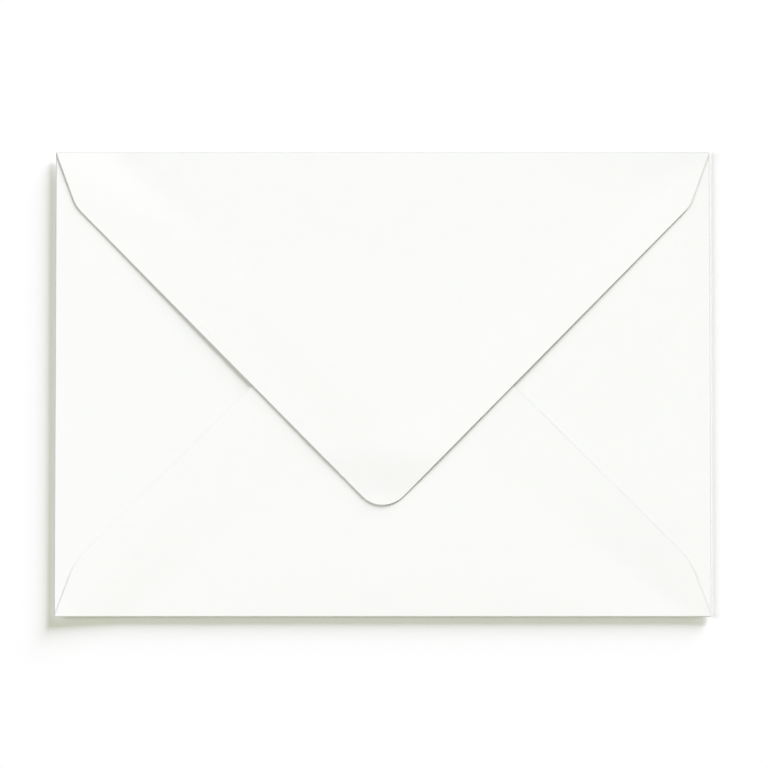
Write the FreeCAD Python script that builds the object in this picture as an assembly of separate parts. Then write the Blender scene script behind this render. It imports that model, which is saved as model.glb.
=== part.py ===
import FreeCAD, Part
import math
import os

from FreeCAD import Placement, Rotation, Vector

# A paper envelope with a pointed closing flap, folded from one sheet and glued along two
# seams. It lies on its plain address side: +X runs along the long edges, +Y points to the
# fold of the closing flap and +Z is up. The origin is the middle of its underside.
# Sizes are in millimetres and angles in degrees.

# The finished rectangle and its paper
WIDTH = 176.0
HEIGHT = 125.0
PAPER = 0.15

# Spaces between the layers, counted upwards from the address side
POCKET_GAP = 0.5
GLUE_FILM = 0.05
CLOSING_GAP = 0.1

# Closing flap: depths are measured from the top edge, insets from the side edges
CLOSING_DEPTH = 95.0
CLOSING_TIP_RADIUS = 7.7
CLOSING_SHOULDER_DEPTH = 14.8
CLOSING_SHOULDER_INSET = 5.5
CLOSING_SHOULDER_RADIUS = 9.0

# Bottom flap: depths are measured from the bottom edge
BOTTOM_DEPTH = 84.6
BOTTOM_TIP_RADIUS = 30.0
BOTTOM_SHOULDER_DEPTH = 15.2
BOTTOM_SHOULDER_INSET = 5.7
BOTTOM_SHOULDER_RADIUS = 20.0

# Side flaps: the free width between their tips, and how far short of a fold each one ends
SIDE_TIP_SPACING = 36.0
SIDE_TIP_RADIUS = 10.0
CORNER_NOTCH = 0.1

# Seam glue: how far it stays inside the paper's edges, and how wide it is
GLUE_MARGIN = 1.5
GLUE_WIDTH = 8.0

# Height of the top of each flap where it leaves its fold; the fold is half as high in radius
SIDE_TOP = 2 * PAPER + POCKET_GAP
BOTTOM_TOP = SIDE_TOP + GLUE_FILM + PAPER
CLOSING_TOP = SIDE_TOP + CLOSING_GAP + PAPER
SIDE_FOLD = SIDE_TOP / 2
BOTTOM_FOLD = BOTTOM_TOP / 2
CLOSING_FOLD = CLOSING_TOP / 2

# The closing flap slopes up from its fold, to pass over the tip of the bottom flap
CLOSING_SLOPE = math.degrees(math.atan2(BOTTOM_TOP - SIDE_TOP, HEIGHT - BOTTOM_DEPTH))

# The flat address panel ends where the folds begin
PANEL_LEFT = SIDE_FOLD - WIDTH / 2
PANEL_WIDTH = WIDTH - 2 * SIDE_FOLD
PANEL_LOW = BOTTOM_FOLD - HEIGHT / 2
PANEL_HEIGHT = HEIGHT - BOTTOM_FOLD - CLOSING_FOLD


def round_corner(before, corner, after):
    """Start, middle and end of the arc that rounds a corner given as (x, y, radius)."""
    point = Vector(corner[0], corner[1], 0)
    back = (Vector(before[0], before[1], 0) - point).normalize()
    ahead = (Vector(after[0], after[1], 0) - point).normalize()
    half_angle = back.getAngle(ahead) / 2
    reach = corner[2] / math.tan(half_angle)
    depth = corner[2] / math.sin(half_angle) - corner[2]
    middle = point + (back + ahead).normalize() * depth
    return point + back * reach, middle, point + ahead * reach


def plan_face(corners):
    """A flat face whose straight edges meet in corners given as (x, y, radius)."""
    following = corners[1:] + corners[:1]
    arcs = [round_corner(*three) for three in zip(corners[-1:] + corners[:-1], corners, following)]
    edges = []
    for arc, next_arc, corner in zip(arcs, arcs[1:] + arcs[:1], corners):
        if corner[2] > 0:
            edges.append(Part.Arc(*arc).toShape())
        edges.append(Part.makeLine(arc[2], next_arc[0]))
    return Part.Face(Part.Wire(edges))


def flap_plan(fold_radius, half_fold, depth, tip_radius, shoulders=()):
    """Plan of a pointed flap whose fold lies along y = 0 and whose round tip is at y = depth.

    It keeps the fold's full width up to the end of the bend. From there, or from the last
    shoulder, a straight edge runs at a tangent to the tip.
    """
    right = [(half_fold, -fold_radius, 0), (half_fold, fold_radius, 0), *shoulders]
    last_x, last_y, _ = right[-1]
    rise = depth - tip_radius - last_y
    slope = math.atan2(rise, last_x) + math.asin(tip_radius / math.hypot(rise, last_x))
    apex = (0, last_y + last_x * math.tan(slope), tip_radius)
    left = [(-x, y, radius) for x, y, radius in right]
    return plan_face(right + [apex] + left[::-1])


def fold_section(fold_radius, length, slope):
    """Section across a fold: the bend up from the address panel, and the flap's straight run."""
    turn = math.radians(slope)
    along = Vector(0, math.cos(turn), math.sin(turn))
    outward = Vector(0, -math.sin(turn), math.cos(turn))
    centre = Vector(0, fold_radius, fold_radius)
    inner_radius = fold_radius - PAPER
    outer_end = centre + outward * fold_radius
    inner_end = centre + outward * inner_radius
    outer = Part.Arc(Vector(0, fold_radius, 0), Vector(0, 0, fold_radius), outer_end)
    inner = Part.Arc(inner_end, Vector(0, PAPER, fold_radius), Vector(0, fold_radius, PAPER))
    edges = [
        outer.toShape(),
        Part.makeLine(outer_end, outer_end + along * length),
        Part.makeLine(outer_end + along * length, inner_end + along * length),
        Part.makeLine(inner_end + along * length, inner_end),
        inner.toShape(),
        Part.makeLine(Vector(0, fold_radius, PAPER), Vector(0, fold_radius, 0)),
    ]
    return Part.Face(Part.Wire(edges))


def folded_flap(plan, fold_radius, slope=0):
    """A folded strip of paper cut to the flap's plan, with its fold along y = 0."""
    box = plan.BoundBox
    strip = fold_section(fold_radius, box.YMax, slope).extrude(Vector(box.XLength, 0, 0))
    strip.translate(Vector(box.XMin, 0, 0))
    cutter = plan.extrude(Vector(0, 0, strip.BoundBox.ZMax + 2 * PAPER))
    cutter.translate(Vector(0, 0, -PAPER))
    return strip.common(cutter)


def moved(shape, placement):
    """A shape drawn with its fold along y = 0, in its place on the envelope."""
    copy = shape.copy()
    copy.Placement = placement
    return copy


def closing_flap():
    """The pointed flap that covers the back, folded over the top edge."""
    shoulder_x = WIDTH / 2 - CLOSING_SHOULDER_INSET
    shoulder = (shoulder_x, CLOSING_SHOULDER_DEPTH, CLOSING_SHOULDER_RADIUS)
    plan = flap_plan(CLOSING_FOLD, PANEL_WIDTH / 2, CLOSING_DEPTH, CLOSING_TIP_RADIUS, [shoulder])
    flap = folded_flap(plan, CLOSING_FOLD, CLOSING_SLOPE)
    return moved(flap, Placement(Vector(0, HEIGHT / 2, 0), Rotation(180, 0, 0)))


def bottom_plan():
    """Plan of the bottom flap."""
    shoulder_x = WIDTH / 2 - BOTTOM_SHOULDER_INSET
    shoulder = (shoulder_x, BOTTOM_SHOULDER_DEPTH, BOTTOM_SHOULDER_RADIUS)
    return flap_plan(BOTTOM_FOLD, PANEL_WIDTH / 2, BOTTOM_DEPTH, BOTTOM_TIP_RADIUS, [shoulder])


def side_plan():
    """Plan of a side flap."""
    half_fold = PANEL_HEIGHT / 2 - CORNER_NOTCH
    depth = (WIDTH - SIDE_TIP_SPACING) / 2
    return flap_plan(SIDE_FOLD, half_fold, depth, SIDE_TIP_RADIUS)


def seam_glue(bottom, side):
    """The film between a side flap and the bottom flap, a band just inside the bottom flap's edge."""
    overlap = bottom.common(side).Faces[0].makeOffset2D(-GLUE_MARGIN)
    band = overlap.cut(bottom.makeOffset2D(-GLUE_MARGIN - GLUE_WIDTH))
    band.translate(Vector(0, 0, SIDE_TOP))
    return band.extrude(Vector(0, 0, GLUE_FILM))


def envelope():
    """The whole folded and glued sheet."""
    panel_corner = Vector(PANEL_LEFT, PANEL_LOW, 0)
    layers = [Part.makeBox(PANEL_WIDTH, PANEL_HEIGHT, PAPER, panel_corner), closing_flap()]
    bottom = bottom_plan()
    at_bottom = Placement(Vector(0, -HEIGHT / 2, 0), Rotation())
    layers.append(moved(folded_flap(bottom, BOTTOM_FOLD), at_bottom))
    side = side_plan()
    for direction in (-1, 1):
        fold_middle = Vector(direction * WIDTH / 2, PANEL_LOW + PANEL_HEIGHT / 2, 0)
        at_side = Placement(fold_middle, Rotation(direction * 90, 0, 0))
        layers.append(moved(folded_flap(side, SIDE_FOLD), at_side))
        layers.append(seam_glue(moved(bottom, at_bottom), moved(side, at_side)))
    return layers[0].fuse(layers[1:]).removeSplitter()


os.makedirs("parts", exist_ok=True)
envelope().exportStep("parts/envelope.step")
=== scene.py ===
import math

import bmesh
import bpy
from mathutils import Matrix, Vector, noise
from mathutils.geometry import delaunay_2d_cdt


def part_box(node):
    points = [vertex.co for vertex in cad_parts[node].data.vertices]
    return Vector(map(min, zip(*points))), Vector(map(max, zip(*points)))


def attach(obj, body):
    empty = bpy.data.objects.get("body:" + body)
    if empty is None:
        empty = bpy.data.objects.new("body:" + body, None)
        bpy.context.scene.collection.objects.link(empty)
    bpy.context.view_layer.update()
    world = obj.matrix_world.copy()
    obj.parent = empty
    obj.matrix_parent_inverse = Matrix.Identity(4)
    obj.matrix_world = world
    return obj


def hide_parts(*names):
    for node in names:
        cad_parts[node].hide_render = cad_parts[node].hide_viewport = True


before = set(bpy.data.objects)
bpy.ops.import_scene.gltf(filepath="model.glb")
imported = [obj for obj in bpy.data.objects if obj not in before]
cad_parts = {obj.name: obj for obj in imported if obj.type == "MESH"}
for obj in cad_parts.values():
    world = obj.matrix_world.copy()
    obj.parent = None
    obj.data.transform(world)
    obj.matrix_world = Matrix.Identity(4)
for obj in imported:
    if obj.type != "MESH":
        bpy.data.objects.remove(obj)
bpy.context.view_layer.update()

MM = 0.001

# The envelope's rectangle, from the frame, and its paper
LOW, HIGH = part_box("envelope")
HALF_WIDTH = HIGH.x
HALF_HEIGHT = HIGH.y
PAPER = 0.15 * MM

# Tops of the flaps at their folds, which are pressed; each fold's outer radius is half of its
# top. Inside the folds the pocket opens, and the back rises by its opening, in a curve that is
# almost level in the middle.
SIDE_TOP = 0.35 * MM
BOTTOM_TOP = 0.53 * MM
CLOSING_TOP = 0.55 * MM
POCKET_OPENING = 0.45 * MM
POCKET_POWER = 4

# Closing flap, with depths from the top edge and insets from the side edges
CLOSING_DEPTH = 95 * MM
CLOSING_TIP_RADIUS = 7.7 * MM
CLOSING_SHOULDER = (HALF_WIDTH - 5.5 * MM, 14.8 * MM, 9 * MM)

# Bottom flap, with depths from the bottom edge
BOTTOM_DEPTH = 84.6 * MM
BOTTOM_TIP_RADIUS = 30 * MM
BOTTOM_SHOULDER = (HALF_WIDTH - 5.7 * MM, 15.2 * MM, 20 * MM)

# The closing flap slopes up from its fold, to pass over the tip of the bottom flap
CLOSING_SLOPE = math.atan2(BOTTOM_TOP - SIDE_TOP, 2 * HALF_HEIGHT - BOTTOM_DEPTH)

# Side flaps, with the free width between their tips
SIDE_TIP_SPACING = 36 * MM
SIDE_TIP_RADIUS = 10 * MM
SIDE_DEPTH = HALF_WIDTH - SIDE_TIP_SPACING / 2

# How the dry sheet lies: its edges have risen off the surface, in a curve that steepens
# towards them, and each corner keeps the height of its higher edge
RISE_LEFT = 1.01 * MM
RISE_RIGHT = 0.6 * MM
RISE_BOTTOM = 0.49 * MM
RISE_TOP = 0.6 * MM
RISE_POWER = 3
CORNER_POWER = 16

# The closing flap droops towards its left edge and its tip, and lifts towards its right edge
DROOP = 0.11 * MM
DROOP_LENGTH = 25 * MM
LIFT = 0.13 * MM
CURL_START = 6 * MM
CURL_LENGTH = 30 * MM
TIP_DROOP = 0.2 * MM
TIP_LENGTH = 15 * MM

# Every layer waves slightly, each in a pattern of its own. The waves fade out over the last
# twelfth of the way to a fold.
WAVE_HEIGHT = 0.03 * MM
WAVE_LENGTH = 38 * MM
WAVE_FADE = 12
BACK_WAVES = 1.3
CLOSING_WAVES = 2.8

# How darkened the flaps are at the fold and at the cut edge, and how wide a darkened edge is. The
# darkening is partly wear and partly painted shade: the grey lines along the outer folds and the
# seams stand in for shade, and the folds along the top and sides get more of it than the bottom
# one.
CLOSING_WEAR_AND_SHADE = (1.0, 0.6)
BOTTOM_WEAR_AND_SHADE = (0.1, 0.35)
SIDE_WEAR_AND_SHADE = (0.85, 0.35)
DARKENED_EDGE_WIDTH = 0.12 * MM

# The mesh: the size of its faces, the turn from point to point on an outline's arcs, the number
# of faces round a fold, how far inner points keep from a flap's root, how near points are
# joined, from what angle an edge is sharp, and what the triangulation is asked for
STEP = 1.6 * MM
ARC_STEP = math.radians(4)
BEND_STEPS = 12
ROOT_GAP = 0.6 * STEP
WELD = 0.002 * MM
SHARP_ANGLE = math.radians(40)
CDT_INSIDE = 1
CDT_EPSILON = 1e-7

# The photograph's view, almost from straight above
PHOTO_SIDE = 768
PIXELS_PER_MM = 3.72
VIEW_WIDTH = PHOTO_SIDE / PIXELS_PER_MM * MM
VIEW_DISTANCE = 0.7
VIEW_TILT = math.radians(2)
VIEW_SHIFT = Vector((0.29, -0.07, 0)) * MM
SENSOR_WIDTH = 36
CLIP_START = 0.01

# The paper's colours, and how much darker it is where wear and painted shade are strongest
FACE_PALE = (0.961, 0.971, 0.944)
FACE_DARK = (0.949, 0.959, 0.932)
# The cut edges' colours are dark grey, far darker than the paper: painted shade that marks the
# layered edges and seams
CUT_SHADED_PALE = (0.48, 0.48, 0.455)
CUT_SHADED_DARK = (0.36, 0.36, 0.34)
WEAR_AND_SHADE_DARKNESS = 0.4

# The paper's texture, with scales in patterns to the metre
GRAIN_SCALE = 1400.0
FIBRE_SCALE = (700, 5200, 1500)
FIBRE_TURNS = (0.3, 1.4, 2.5)
CRACK_SCALE = 3600.0
CRACK_RELIEF = 2.0
CLOUD_SCALE = 220.0
CLOUD_RANGE = (0.3, 0.7)
RELIEF_HEIGHT = 0.01 * MM
RELIEF_STRENGTH = 0.3
ROUGHNESS = (0.82, 0.95)
SPECULAR = 0.05

# The floor's colour, and what it adds for the camera, so that its lit part is full white
FLOOR_SIZE = 8
FLOOR_COLOUR = (0.89, 0.865, 0.99, 1)
FLOOR_GLOW = (0.115, 0.143, 0.018, 1)

# The light: an even surround, and three large soft lights. Each has its share of the light on a
# level surface, and its height, its side (from the top edge to the right) and its size in degrees.
AMBIENT = (0.05, 0.05, 0.05, 1)
LIGHTS = {
    "soft_key": ((0.515, 0.515, 0.545), 12.5, 34, 24),
    "left_fill": ((0.3, 0.3, 0.315), 28, -80, 34),
    "front_fill": ((0.135, 0.135, 0.09), 33, 175, 40),
}

WHITE = (1, 1, 1, 1)
BLACK = (0, 0, 0, 1)


def smooth(t):
    """0 to 1 with level ends, for t from 0 to 1."""
    t = min(max(t, 0.0), 1.0)
    return t * t * (3 - 2 * t)


def edge_rise(x, y):
    """How far the address panel has risen off the surface at a point, mostly at its rim."""
    across = (RISE_RIGHT if x > 0 else RISE_LEFT) * (abs(x) / HALF_WIDTH) ** RISE_POWER
    along = (RISE_TOP if y > 0 else RISE_BOTTOM) * (abs(y) / HALF_HEIGHT) ** RISE_POWER
    return (across**CORNER_POWER + along**CORNER_POWER) ** (1 / CORNER_POWER)


def wave(x, y, layer):
    """A slight unevenness of the paper, different in each layer and gone at the folds."""
    inside = smooth(WAVE_FADE * (1 - abs(x) / HALF_WIDTH))
    inside *= smooth(WAVE_FADE * (1 - abs(y) / HALF_HEIGHT))
    return WAVE_HEIGHT * inside * noise.noise(Vector((x / WAVE_LENGTH, y / WAVE_LENGTH, layer)))


def pocket_rise(x, y):
    """How far the back stands up from the pressed folds round the pocket."""
    across = 1 - (abs(x) / HALF_WIDTH) ** POCKET_POWER
    along = 1 - (abs(y) / HALF_HEIGHT) ** POCKET_POWER
    return POCKET_OPENING * across * along


def back_rise(x, y):
    """Displacement of the side and bottom flaps, which are glued together and move as one."""
    return edge_rise(x, y) + pocket_rise(x, y) + wave(x, y, BACK_WAVES)


def closing_rise(x, y):
    """Displacement of the closing flap."""
    depth = HALF_HEIGHT - y
    droop = DROOP * smooth((-x - y - CURL_START) / CURL_LENGTH) * smooth(depth / DROOP_LENGTH)
    droop += TIP_DROOP * smooth((depth - CLOSING_DEPTH) / TIP_LENGTH + 1)
    lift = LIFT * smooth((x - y - CURL_START) / CURL_LENGTH) * depth / CLOSING_DEPTH
    return edge_rise(x, y) + pocket_rise(x, y) + lift - droop + wave(x, y, CLOSING_WAVES)


def rounded(corners):
    """The points of an open outline whose corners (x, y, radius) are rounded, closely spaced."""
    points = [Vector(corners[0][:2])]
    for before, corner, after in zip(corners, corners[1:], corners[2:]):
        point = Vector(corner[:2])
        back = (Vector(before[:2]) - point).normalized()
        ahead = (Vector(after[:2]) - point).normalized()
        half_angle = back.angle(ahead) / 2
        centre = point + (back + ahead).normalized() * corner[2] / math.sin(half_angle)
        start = point + back * corner[2] / math.tan(half_angle) - centre
        turn = math.pi - 2 * half_angle
        count = max(2, round(turn / ARC_STEP))
        for index in range(count + 1):
            points.append(centre + Matrix.Rotation(turn * index / count, 2) @ start)
    points.append(Vector(corners[-1][:2]))
    return points


def with_steps(points):
    """The same outline with its long straight runs divided."""
    result = [points[0]]
    for start, end in zip(points, points[1:]):
        count = max(1, round((end - start).length / STEP))
        result.extend(start.lerp(end, index / count) for index in range(1, count + 1))
    return result


def flap_edge(half_fold, root, depth, tip_radius, shoulder=None):
    """The cut edge of a flap, from the right end of its root round its tip to the left end."""
    right = [(half_fold, root, 0)]
    if shoulder:
        right.append(shoulder)
    last_x, last_y, _ = right[-1]
    rise = depth - tip_radius - last_y
    slope = math.atan2(rise, last_x) + math.asin(tip_radius / math.hypot(rise, last_x))
    tip = (0, last_y + last_x * math.tan(slope), tip_radius)
    left = [(-x, y, radius) for x, y, radius in right]
    return with_steps(rounded([*right, tip, *left[::-1]]))


def stations(half_length):
    """Places along a fold, evenly spaced but for one close to each end."""
    inner = half_length - DARKENED_EDGE_WIDTH
    count = round(2 * inner / STEP)
    even = [inner * (2 * index / count - 1) for index in range(count + 1)]
    return [-half_length, *even, half_length]


def inset(outline):
    """The inner points of an outline that runs anticlockwise, moved in by the width of the darkened
    edge.
    """
    result = []
    for before, point, after in zip(outline, outline[1:], outline[2:]):
        along = (after - before).normalized()
        result.append(point + Vector((-along.y, along.x)) * DARKENED_EDGE_WIDTH)
    return result


def inner_points(boundary):
    """Points in rows inside a flap's outline, which is symmetric and starts at its root."""
    ring = [boundary[-1], *boundary]
    rows = math.ceil(max(point.y for point in boundary) / STEP)
    points = []
    for row in range(rows):
        y = (row + 0.5) * STEP
        crossings = []
        for a, b in zip(ring, ring[1:]):
            if (a.y > y) != (b.y > y):
                crossings.append(abs(a.x + (b.x - a.x) * (y - a.y) / (b.y - a.y)))
        if crossings and y > boundary[0].y + ROOT_GAP:
            reach = min(crossings) - STEP
            count = math.floor(2 * reach / STEP)
            points.extend(Vector(((index - count / 2) * STEP, y)) for index in range(count + 1))
    return points


def flat_faces(edge, fold_line):
    """Points and triangles that fill a flap evenly, and which points are on its cut edge.

    A narrow strip of faces runs along the cut edge. fold_line is the line between its ends.
    """
    boundary = [edge[-1], *fold_line, *edge[:-1]]
    loop = list(range(len(boundary)))
    on_edge = {0, *loop[len(fold_line) + 1:]}
    points, _, faces, sources, *_ = delaunay_2d_cdt(
        boundary + inset(edge) + inner_points(boundary), [], [loop], CDT_INSIDE, CDT_EPSILON
    )
    return points, faces, [not on_edge.isdisjoint(source) for source in sources]


class Sheet:
    """The middle surface of the folded paper, with its wear and painted shade at each point."""

    def __init__(self):
        self.points = []
        self.wear_and_shade = []
        self.faces = []

    def add(self, points, faces, wear_and_shade):
        """Adds faces between points of their own."""
        first = len(self.points)
        self.points.extend(points)
        self.faces.extend([first + index for index in face] for face in faces)
        self.wear_and_shade.extend(wear_and_shade)

    def add_grid(self, rows, wear_and_shade):
        """Adds faces between rows of points, all of one length, with one value of wear and painted
        shade for each row.
        """
        width = len(rows[0])
        faces = []
        for i in range(len(rows) - 1):
            for j in range(width - 1):
                a = i * width + j
                faces.append((a, a + 1, a + width + 1, a + width))
        points = [point for row in rows for point in row]
        self.add(points, faces, [value for value in wear_and_shade for _ in range(width)])

    def add_flap(self, fold_radius, along_fold, outline, place, rise, worn_and_shaded, slope=0.0):
        """Adds a folded flap: its bend from the panel, and the flat part out to its tip.

        outline has the flap's depth, tip radius and shoulder. place turns (along the fold, from
        the fold) into (x, y), and rise is the flap's displacement. The next value says how darkened
        the fold and the cut edge are, by wear and by painted shade. slope is the flap's angle from
        level.
        """
        fold_wear_and_shade, edge_wear_and_shade = worn_and_shaded
        middle = fold_radius - PAPER / 2
        rows = []
        wear_and_shade = []
        for step in range(BEND_STEPS + 1):
            angle = (math.pi - slope) * step / BEND_STEPS
            # Wear and painted shade along the fold, darkest where the bend faces outwards
            wear_and_shade.append(fold_wear_and_shade * math.sin(min(angle, math.pi / 2)) ** 2)
            share = (1 - math.cos(angle)) / 2
            row = []
            for along in along_fold:
                x, y = place(along, fold_radius - middle * math.sin(angle))
                z = fold_radius - middle * math.cos(angle)
                z += edge_rise(x, y) * (1 - share) + rise(x, y) * share
                row.append(Vector((x, y, z)))
            rows.append(row)

        def on_flap(along, away):
            x, y = place(along, away)
            z = fold_radius + middle * math.cos(slope) + (away - fold_radius) * math.tan(slope)
            return Vector((x, y, z + rise(x, y)))

        root = fold_radius + DARKENED_EDGE_WIDTH
        rows.append([on_flap(along, root) for along in along_fold])
        self.add_grid(rows, [*wear_and_shade, 0.0])
        root_line = [Vector((along, root)) for along in along_fold[1:-1]]
        flat, faces, cut = flat_faces(flap_edge(along_fold[-1], root, *outline), root_line)
        # The strip along the cut edge is darkened by wear and by painted shade
        self.add([on_flap(*point) for point in flat], faces, [edge_wear_and_shade * is_cut for is_cut in cut])


def folded_sheet():
    """The envelope as one sheet of paper: the address panel and its four folded flaps."""
    side_fold, bottom_fold, closing_fold = SIDE_TOP / 2, BOTTOM_TOP / 2, CLOSING_TOP / 2
    low, high = bottom_fold - HALF_HEIGHT, HALF_HEIGHT - closing_fold
    middle = (low + high) / 2
    across = stations(HALF_WIDTH - side_fold)
    up = stations((high - low) / 2)

    def on_panel(x, y):
        return Vector((x, y, PAPER / 2 + edge_rise(x, y)))

    def at_top(along, away):
        return -along, HALF_HEIGHT - away

    def at_bottom(along, away):
        return along, away - HALF_HEIGHT

    def at_left(along, away):
        return away - HALF_WIDTH, middle - along

    def at_right(along, away):
        return HALF_WIDTH - away, middle + along

    sheet = Sheet()
    sheet.add_grid([[on_panel(x, middle + y) for x in across] for y in up], [0.0] * len(up))
    closing = (CLOSING_DEPTH, CLOSING_TIP_RADIUS, CLOSING_SHOULDER)
    sheet.add_flap(closing_fold, across, closing, at_top, closing_rise, CLOSING_WEAR_AND_SHADE, CLOSING_SLOPE)
    bottom = (BOTTOM_DEPTH, BOTTOM_TIP_RADIUS, BOTTOM_SHOULDER)
    sheet.add_flap(bottom_fold, across, bottom, at_bottom, back_rise, BOTTOM_WEAR_AND_SHADE)
    side = (SIDE_DEPTH, SIDE_TIP_RADIUS)
    for at_side in (at_left, at_right):
        sheet.add_flap(side_fold, up, side, at_side, back_rise, SIDE_WEAR_AND_SHADE)
    return sheet


def paper_object(name, sheet, face, shaded_cut_edge):
    """The sheet as an object of its own thickness, with materials for its faces and cut edges."""
    mesh = bpy.data.meshes.new(name)
    mesh.from_pydata(sheet.points, [], sheet.faces)
    mesh.attributes.new("wear_and_shade", "FLOAT", "POINT").data.foreach_set("value", sheet.wear_and_shade)
    mesh.materials.append(face)
    mesh.materials.append(shaded_cut_edge)
    work = bmesh.new()
    work.from_mesh(mesh)
    bmesh.ops.remove_doubles(work, verts=work.verts, dist=WELD)
    bmesh.ops.recalc_face_normals(work, faces=work.faces)
    work.to_mesh(mesh)
    work.free()
    piece = bpy.data.objects.new(name, mesh)
    bpy.context.scene.collection.objects.link(piece)
    thickness = piece.modifiers.new("thickness", "SOLIDIFY")
    thickness.thickness = PAPER
    thickness.offset = 0
    thickness.use_even_offset = True
    thickness.material_offset_rim = 1
    bpy.context.view_layer.update()
    thick_piece = piece.evaluated_get(bpy.context.evaluated_depsgraph_get())
    solid = bpy.data.meshes.new_from_object(thick_piece)
    piece.modifiers.clear()
    piece.data = solid
    solid.shade_smooth()
    solid.set_sharp_from_angle(angle=SHARP_ANGLE)
    return piece


class Nodes:
    """A short way to write a material's or a world's nodes."""

    def __init__(self, tree):
        self.tree = tree
        tree.nodes.clear()

    def add(self, kind, links=None, **settings):
        """A node with its settings; links maps its sockets to values or to other nodes' outputs."""
        node = self.tree.nodes.new(kind)
        for name, value in settings.items():
            setattr(node, name, value)
        for socket, value in (links or {}).items():
            if isinstance(value, bpy.types.NodeSocket):
                self.tree.links.new(value, node.inputs[socket])
            else:
                node.inputs[socket].default_value = value
        return node

    def combined(self, operation, a, b):
        """The result of a Math node."""
        return self.add("ShaderNodeMath", {0: a, 1: b}, operation=operation).outputs[0]


def paper_material(name, pale, dark):
    """Smooth uncoated paper: matt, with faint clouding between two colours and a felt of fibres."""
    material = bpy.data.materials.new(name)
    material.use_nodes = True
    nodes = Nodes(material.node_tree)
    place = nodes.add("ShaderNodeTexCoord").outputs["Object"]

    def speckle(scale, detail, vector=place):
        links = {"Vector": vector, "Scale": scale, "Detail": detail, "Roughness": 0.6}
        return nodes.add("ShaderNodeTexNoise", links).outputs["Fac"]

    # Fibres lie every way: three layers of long thin noise, each turned against the others
    grain = speckle(GRAIN_SCALE, detail=3.0)
    relief = grain
    for turn in FIBRE_TURNS:
        links = {"Vector": place, "Rotation": (0, 0, turn), "Scale": FIBRE_SCALE}
        turned = nodes.add("ShaderNodeMapping", links).outputs["Vector"]
        relief = nodes.combined("ADD", relief, speckle(1.0, detail=2.0, vector=turned))
    wear_and_shade = nodes.add("ShaderNodeAttribute", attribute_name="wear_and_shade").outputs["Fac"]
    cracks = nodes.combined("MULTIPLY", wear_and_shade, speckle(CRACK_SCALE, detail=3.0))
    relief = nodes.combined("ADD", relief, nodes.combined("MULTIPLY", cracks, CRACK_RELIEF))
    links = {"Strength": RELIEF_STRENGTH, "Distance": RELIEF_HEIGHT, "Height": relief}
    bump = nodes.add("ShaderNodeBump", links)

    clouds = nodes.add("ShaderNodeValToRGB", {"Fac": speckle(CLOUD_SCALE, detail=4.0)})
    for element, position, colour in zip(clouds.color_ramp.elements, CLOUD_RANGE, (dark, pale)):
        element.position = position
        element.color = (*colour, 1)
    # Darkened towards black by wear and by painted shade at the folds and cut edges
    links = {
        "Factor": nodes.combined("MULTIPLY", wear_and_shade, WEAR_AND_SHADE_DARKNESS),
        "A": clouds.outputs["Color"],
        "B": BLACK,
    }
    worn_and_shaded = nodes.add("ShaderNodeMix", links, data_type="RGBA")
    links = {"Value": grain, "To Min": ROUGHNESS[0], "To Max": ROUGHNESS[1]}
    roughness = nodes.add("ShaderNodeMapRange", links)
    links = {
        "Base Color": worn_and_shaded.outputs["Result"],
        "Roughness": roughness.outputs["Result"],
        "Specular IOR Level": SPECULAR,
        "Normal": bump.outputs["Normal"],
    }
    surface = nodes.add("ShaderNodeBsdfPrincipled", links)
    nodes.add("ShaderNodeOutputMaterial", {"Surface": surface.outputs["BSDF"]})
    return material


def seen_rays(nodes):
    """1 for camera, glossy and transmission rays, which make what is seen, and 0 for the rest."""
    path = nodes.add("ShaderNodeLightPath").outputs
    seen = path["Is Camera Ray"]
    for kind in ("Is Glossy Ray", "Is Transmission Ray"):
        seen = nodes.combined("MAXIMUM", seen, path[kind])
    return seen


def floor_material():
    """A plain white surface that keeps the shadow; the camera sees its lit part as full white."""
    material = bpy.data.materials.new("white_floor")
    material.use_nodes = True
    nodes = Nodes(material.node_tree)
    diffuse = nodes.add("ShaderNodeBsdfDiffuse", {"Color": FLOOR_COLOUR})
    glow = nodes.add("ShaderNodeEmission", {"Color": FLOOR_GLOW, "Strength": seen_rays(nodes)})
    both = nodes.add("ShaderNodeAddShader", {0: diffuse.outputs[0], 1: glow.outputs[0]})
    nodes.add("ShaderNodeOutputMaterial", {"Surface": both.outputs[0]})
    return material


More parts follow.
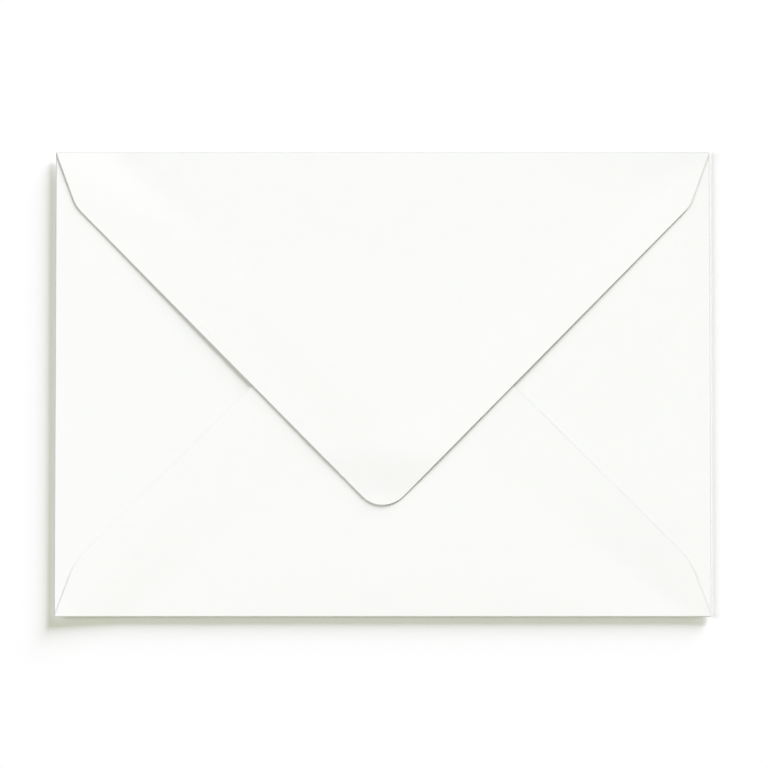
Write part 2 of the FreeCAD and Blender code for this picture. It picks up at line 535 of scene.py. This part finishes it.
def build_floor():
    """The surface that the envelope lies on."""
    bpy.ops.mesh.primitive_plane_add(size=FLOOR_SIZE, location=(0, 0, LOW.z))
    floor = bpy.context.object
    floor.name = "floor"
    floor.data.materials.append(floor_material())


def build_light():
    """The even surround, which the camera sees as white, and the soft lights."""
    world = bpy.data.worlds.new("surround")
    bpy.context.scene.world = world
    world.use_nodes = True
    nodes = Nodes(world.node_tree)
    light = nodes.add("ShaderNodeBackground", {"Color": AMBIENT, "Strength": 1.0})
    white = nodes.add("ShaderNodeBackground", {"Color": WHITE, "Strength": 1.0})
    links = {0: seen_rays(nodes), 1: light.outputs[0], 2: white.outputs[0]}
    mix = nodes.add("ShaderNodeMixShader", links)
    nodes.add("ShaderNodeOutputWorld", {"Surface": mix.outputs[0]})

    for name, (share, height, side, size) in LIGHTS.items():
        lamp = bpy.data.lights.new(name, "SUN")
        lamp.angle = math.radians(size)
        lamp.energy = math.pi / math.sin(math.radians(height))
        lamp.color = share
        light = bpy.data.objects.new(name, lamp)
        light.rotation_euler = (math.radians(90 - height), 0, math.radians(180 - side))
        bpy.context.scene.collection.objects.link(light)


def build_camera():
    """The camera at the photograph's place, looking down from a little below the middle."""
    data = bpy.data.cameras.new("camera")
    data.sensor_width = SENSOR_WIDTH
    data.lens = data.sensor_width * VIEW_DISTANCE / VIEW_WIDTH
    data.clip_start = CLIP_START
    camera = bpy.data.objects.new("camera", data)
    away = Vector((0, -math.sin(VIEW_TILT), math.cos(VIEW_TILT)))
    camera.location = away * VIEW_DISTANCE + VIEW_SHIFT
    camera.rotation_euler = (VIEW_TILT, 0, 0)
    bpy.context.scene.collection.objects.link(camera)
    bpy.context.scene.camera = camera


build_camera()
build_light()
build_floor()

face = paper_material("envelope_paper", FACE_PALE, FACE_DARK)
# The cut edges get dark grey colours as painted shade
shaded_cut_edge = paper_material("cut_edge_painted_shade", CUT_SHADED_PALE, CUT_SHADED_DARK)
envelope = paper_object("folded_envelope", folded_sheet(), face, shaded_cut_edge)
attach(envelope, "root")
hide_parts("envelope")

bpy.context.scene.view_settings.view_transform = "Standard"
